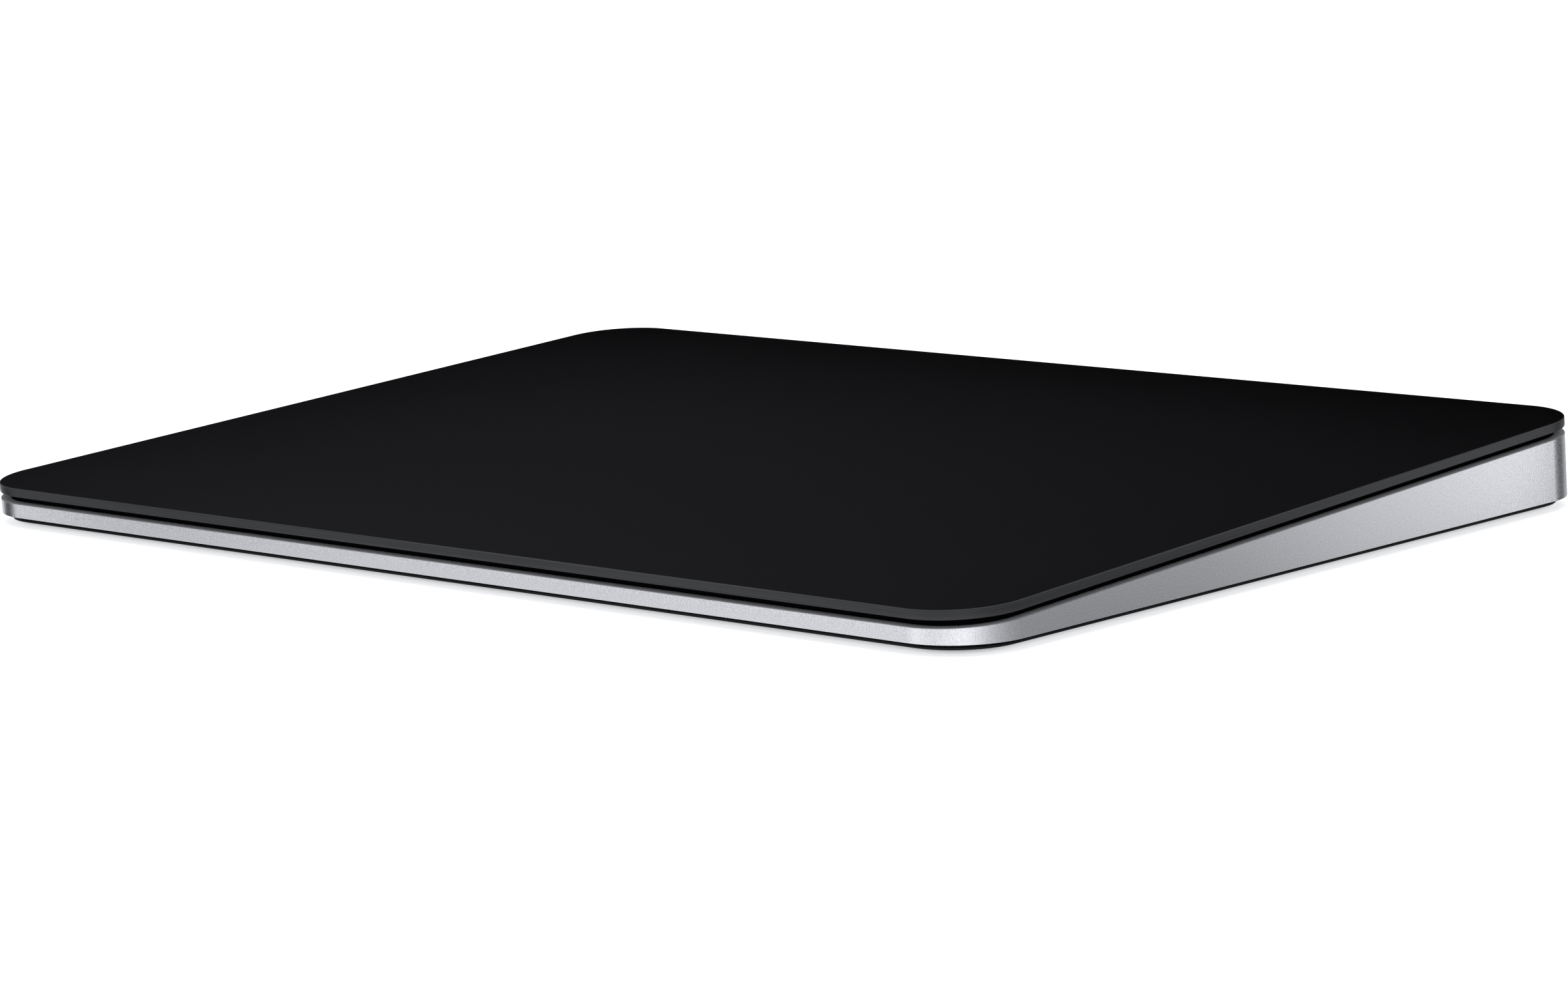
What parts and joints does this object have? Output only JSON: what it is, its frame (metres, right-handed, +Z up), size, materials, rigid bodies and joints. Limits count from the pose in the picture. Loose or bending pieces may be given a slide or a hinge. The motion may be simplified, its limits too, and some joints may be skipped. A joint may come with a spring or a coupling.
{
  "type": "desk trackpad",
  "caption": "Wedge-shaped desk trackpad: a floating black glass touch plate over an aluminium tray, with force-sensing spring seats, a haptic drive, a charge port and a power switch.",
  "frame": {"origin": "bottom centre of the bounding box, on the desk under the feet", "axes": "+X to the right along the width, +Y to the back (thick) edge, +Z up"},
  "size_m": [0.16, 0.1149, 0.0109],
  "materials": {
    "black_glass": "satin etched black touch glass",
    "bead_blasted_aluminium": "bead blasted, clear anodised",
    "black_base": "matte black moulded cover",
    "foot_rubber": "matte",
    "black_board": "black solder mask on glass fibre board",
    "black_film": "black adhesive film",
    "green_board": "green solder mask on glass fibre board",
    "chip_black": "moulded chip package",
    "socket_plastic": "moulded ivory socket",
    "stamped_steel": "stamped stainless steel",
    "core_iron": "laminated soft iron",
    "copper_wire": "enamelled copper winding",
    "gel": "soft clear gel",
    "gauge_foil": "etched foil on film",
    "amber_ribbon": "amber polyimide ribbon circuit",
    "dark_screw": "black zinc",
    "pouch_foil": "dark laminated pouch",
    "tape_white": "double sided tape",
    "wire_red": "silicone insulation",
    "port_steel": "plated drawn steel",
    "port_black": "glass filled plastic",
    "dark_plastic": "moulded dark grey",
    "knob_metal": "bead blasted",
    "flag_green": "printed green"
  },
  "bodies": {
    "enclosure": {"shell": "bead_blasted_aluminium", "base_bond": "black_film", "base_cover": "black_base", "feet": "foot_rubber", "spring_arms": "stamped_steel", "strain_gauges": "gauge_foil", "arm_screws": "dark_screw", "gauge_ribbons": "amber_ribbon", "haptic_bracket": "stamped_steel", "haptic_core": "core_iron", "haptic_coils": "copper_wire", "haptic_screws": "dark_screw", "battery_cell": "pouch_foil", "battery_tape": "tape_white", "battery_guard": "green_board", "battery_wires": "wire_red", "battery_plug": "socket_plastic", "logic_board": "green_board", "logic_chips": "chip_black", "shield_can": "stamped_steel", "logic_socket": "socket_plastic", "logic_screws": "dark_screw", "touch_ribbon": "amber_ribbon", "charge_port": "port_steel", "port_tongue": "port_black", "port_board": "green_board", "port_screws": "dark_screw", "rear_ribbon": "amber_ribbon", "switch_body": "dark_plastic", "switch_holder": "dark_plastic", "holder_screws": "dark_screw", "antenna_carrier": "dark_plastic", "antenna_foil": "gauge_foil", "antenna_coax": "dark_plastic"},
    "seats": {"load_seats": "stamped_steel"},
    "touch_plate": {"touch_glass": "black_glass", "glass_film": "black_film", "sensor_board": "black_board", "touch_chips": "chip_black", "touch_socket": "socket_plastic", "stiffener": "stamped_steel", "gel_pads": "gel", "armature": "core_iron"},
    "power_switch": {"switch_knob": "knob_metal", "switch_flag": "flag_green"}
  },
  "joints": [
    {"name": "press", "type": "slide", "parent": "enclosure", "child": "seats", "axis": [0, 0.0524, -0.9986], "range_m": [0, 0.0002], "stiffness_N_per_m": 20000, "springref_m": -0.0001, "deforming": ["spring_arms", "touch_ribbon"]},
    {"name": "haptic_shift", "type": "slide", "parent": "seats", "child": "touch_plate", "axis": [1, 0, 0], "range_m": [-0.0001, 0.0001], "stiffness_N_per_m": 30000},
    {"name": "power_slide", "type": "slide", "parent": "enclosure", "child": "power_switch", "axis": [1, 0, 0], "range_m": [0, 0.0024]}
  ]
}
